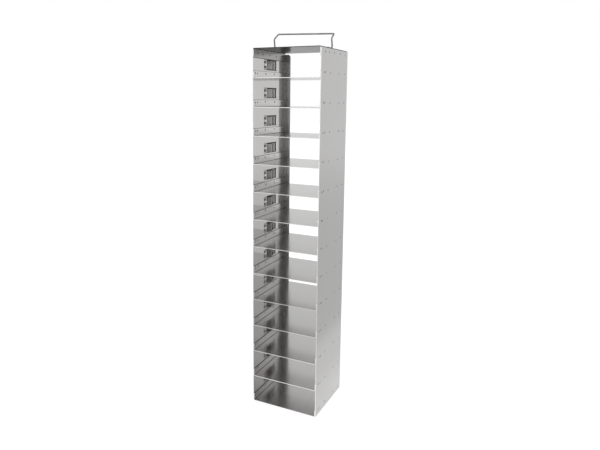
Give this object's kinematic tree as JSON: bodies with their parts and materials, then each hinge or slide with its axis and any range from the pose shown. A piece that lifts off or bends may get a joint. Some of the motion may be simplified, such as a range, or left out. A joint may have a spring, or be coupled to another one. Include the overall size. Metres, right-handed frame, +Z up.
{
  "type": "cryogenic storage rack",
  "caption": "Tall open tower of folded stainless sheet with shelves for flat freezer boxes, a spring tongue in the left wall of each compartment and a folding wire lifting bail.",
  "frame": {"origin": "on the floor, under the middle of the rack", "axes": "+X to the right seen from the open front, +Y from the open front to the back, +Z up"},
  "size_m": [0.143, 0.1366, 0.76],
  "materials": {
    "wall_steel": "mill-finish stainless sheet with a fine vertical grain",
    "plate_steel": "mill-finish stainless sheet with a fine grain across",
    "clip_steel": "spring leaf of the same stainless sheet",
    "wire_steel": "drawn stainless wire, slightly dull",
    "saddle_steel": "pressed stainless strap, spot welded"
  },
  "bodies": {
    "frame": {"left_wall": "wall_steel", "right_wall": "wall_steel", "bottom_plate": "plate_steel", "top_plate": "plate_steel", "shelf_01": "plate_steel", "shelf_02": "plate_steel", "shelf_03": "plate_steel", "shelf_04": "plate_steel", "shelf_05": "plate_steel", "shelf_06": "plate_steel", "shelf_07": "plate_steel", "shelf_08": "plate_steel", "shelf_09": "plate_steel", "shelf_10": "plate_steel", "shelf_11": "plate_steel", "shelf_12": "plate_steel", "left_saddle": "saddle_steel", "right_saddle": "saddle_steel"},
    "handle": {"handle_bail": "wire_steel"},
    "clip_01": {"spring_clip_01": "clip_steel"},
    "clip_02": {"spring_clip_02": "clip_steel"},
    "clip_03": {"spring_clip_03": "clip_steel"},
    "clip_04": {"spring_clip_04": "clip_steel"},
    "clip_05": {"spring_clip_05": "clip_steel"},
    "clip_06": {"spring_clip_06": "clip_steel"},
    "clip_07": {"spring_clip_07": "clip_steel"},
    "clip_08": {"spring_clip_08": "clip_steel"},
    "clip_09": {"spring_clip_09": "clip_steel"},
    "clip_10": {"spring_clip_10": "clip_steel"},
    "clip_11": {"spring_clip_11": "clip_steel"},
    "clip_12": {"spring_clip_12": "clip_steel"},
    "clip_13": {"spring_clip_13": "clip_steel"}
  },
  "joints": [
    {"name": "handle_fold", "type": "hinge", "parent": "frame", "child": "handle", "pos_m": [0, 0.00675, 0.7269], "axis": [1, 0, 0], "range_deg": [-66, 76]},
    {"name": "clip_01_flex", "type": "hinge", "parent": "frame", "child": "clip_01", "pos_m": [-0.0709, -0.02395, 0.69685], "axis": [0, 0, 1], "range_deg": [0, 12], "stiffness_Nm_per_rad": 0.5},
    {"name": "clip_02_flex", "type": "hinge", "parent": "frame", "child": "clip_02", "pos_m": [-0.0709, -0.02395, 0.64115], "axis": [0, 0, 1], "range_deg": [0, 12], "stiffness_Nm_per_rad": 0.5},
    {"name": "clip_03_flex", "type": "hinge", "parent": "frame", "child": "clip_03", "pos_m": [-0.0709, -0.02395, 0.58545], "axis": [0, 0, 1], "range_deg": [0, 12], "stiffness_Nm_per_rad": 0.5},
    {"name": "clip_04_flex", "type": "hinge", "parent": "frame", "child": "clip_04", "pos_m": [-0.0709, -0.02395, 0.52975], "axis": [0, 0, 1], "range_deg": [0, 12], "stiffness_Nm_per_rad": 0.5},
    {"name": "clip_05_flex", "type": "hinge", "parent": "frame", "child": "clip_05", "pos_m": [-0.0709, -0.02395, 0.47405], "axis": [0, 0, 1], "range_deg": [0, 12], "stiffness_Nm_per_rad": 0.5},
    {"name": "clip_06_flex", "type": "hinge", "parent": "frame", "child": "clip_06", "pos_m": [-0.0709, -0.02395, 0.41835], "axis": [0, 0, 1], "range_deg": [0, 12], "stiffness_Nm_per_rad": 0.5},
    {"name": "clip_07_flex", "type": "hinge", "parent": "frame", "child": "clip_07", "pos_m": [-0.0709, -0.02395, 0.36265], "axis": [0, 0, 1], "range_deg": [0, 12], "stiffness_Nm_per_rad": 0.5},
    {"name": "clip_08_flex", "type": "hinge", "parent": "frame", "child": "clip_08", "pos_m": [-0.0709, -0.02395, 0.30695], "axis": [0, 0, 1], "range_deg": [0, 12], "stiffness_Nm_per_rad": 0.5},
    {"name": "clip_09_flex", "type": "hinge", "parent": "frame", "child": "clip_09", "pos_m": [-0.0709, -0.02395, 0.25125], "axis": [0, 0, 1], "range_deg": [0, 12], "stiffness_Nm_per_rad": 0.5},
    {"name": "clip_10_flex", "type": "hinge", "parent": "frame", "child": "clip_10", "pos_m": [-0.0709, -0.02395, 0.19555], "axis": [0, 0, 1], "range_deg": [0, 12], "stiffness_Nm_per_rad": 0.5},
    {"name": "clip_11_flex", "type": "hinge", "parent": "frame", "child": "clip_11", "pos_m": [-0.0709, -0.02395, 0.13985], "axis": [0, 0, 1], "range_deg": [0, 12], "stiffness_Nm_per_rad": 0.5},
    {"name": "clip_12_flex", "type": "hinge", "parent": "frame", "child": "clip_12", "pos_m": [-0.0709, -0.02395, 0.08415], "axis": [0, 0, 1], "range_deg": [0, 12], "stiffness_Nm_per_rad": 0.5},
    {"name": "clip_13_flex", "type": "hinge", "parent": "frame", "child": "clip_13", "pos_m": [-0.0709, -0.02395, 0.02845], "axis": [0, 0, 1], "range_deg": [0, 12], "stiffness_Nm_per_rad": 0.5}
  ]
}
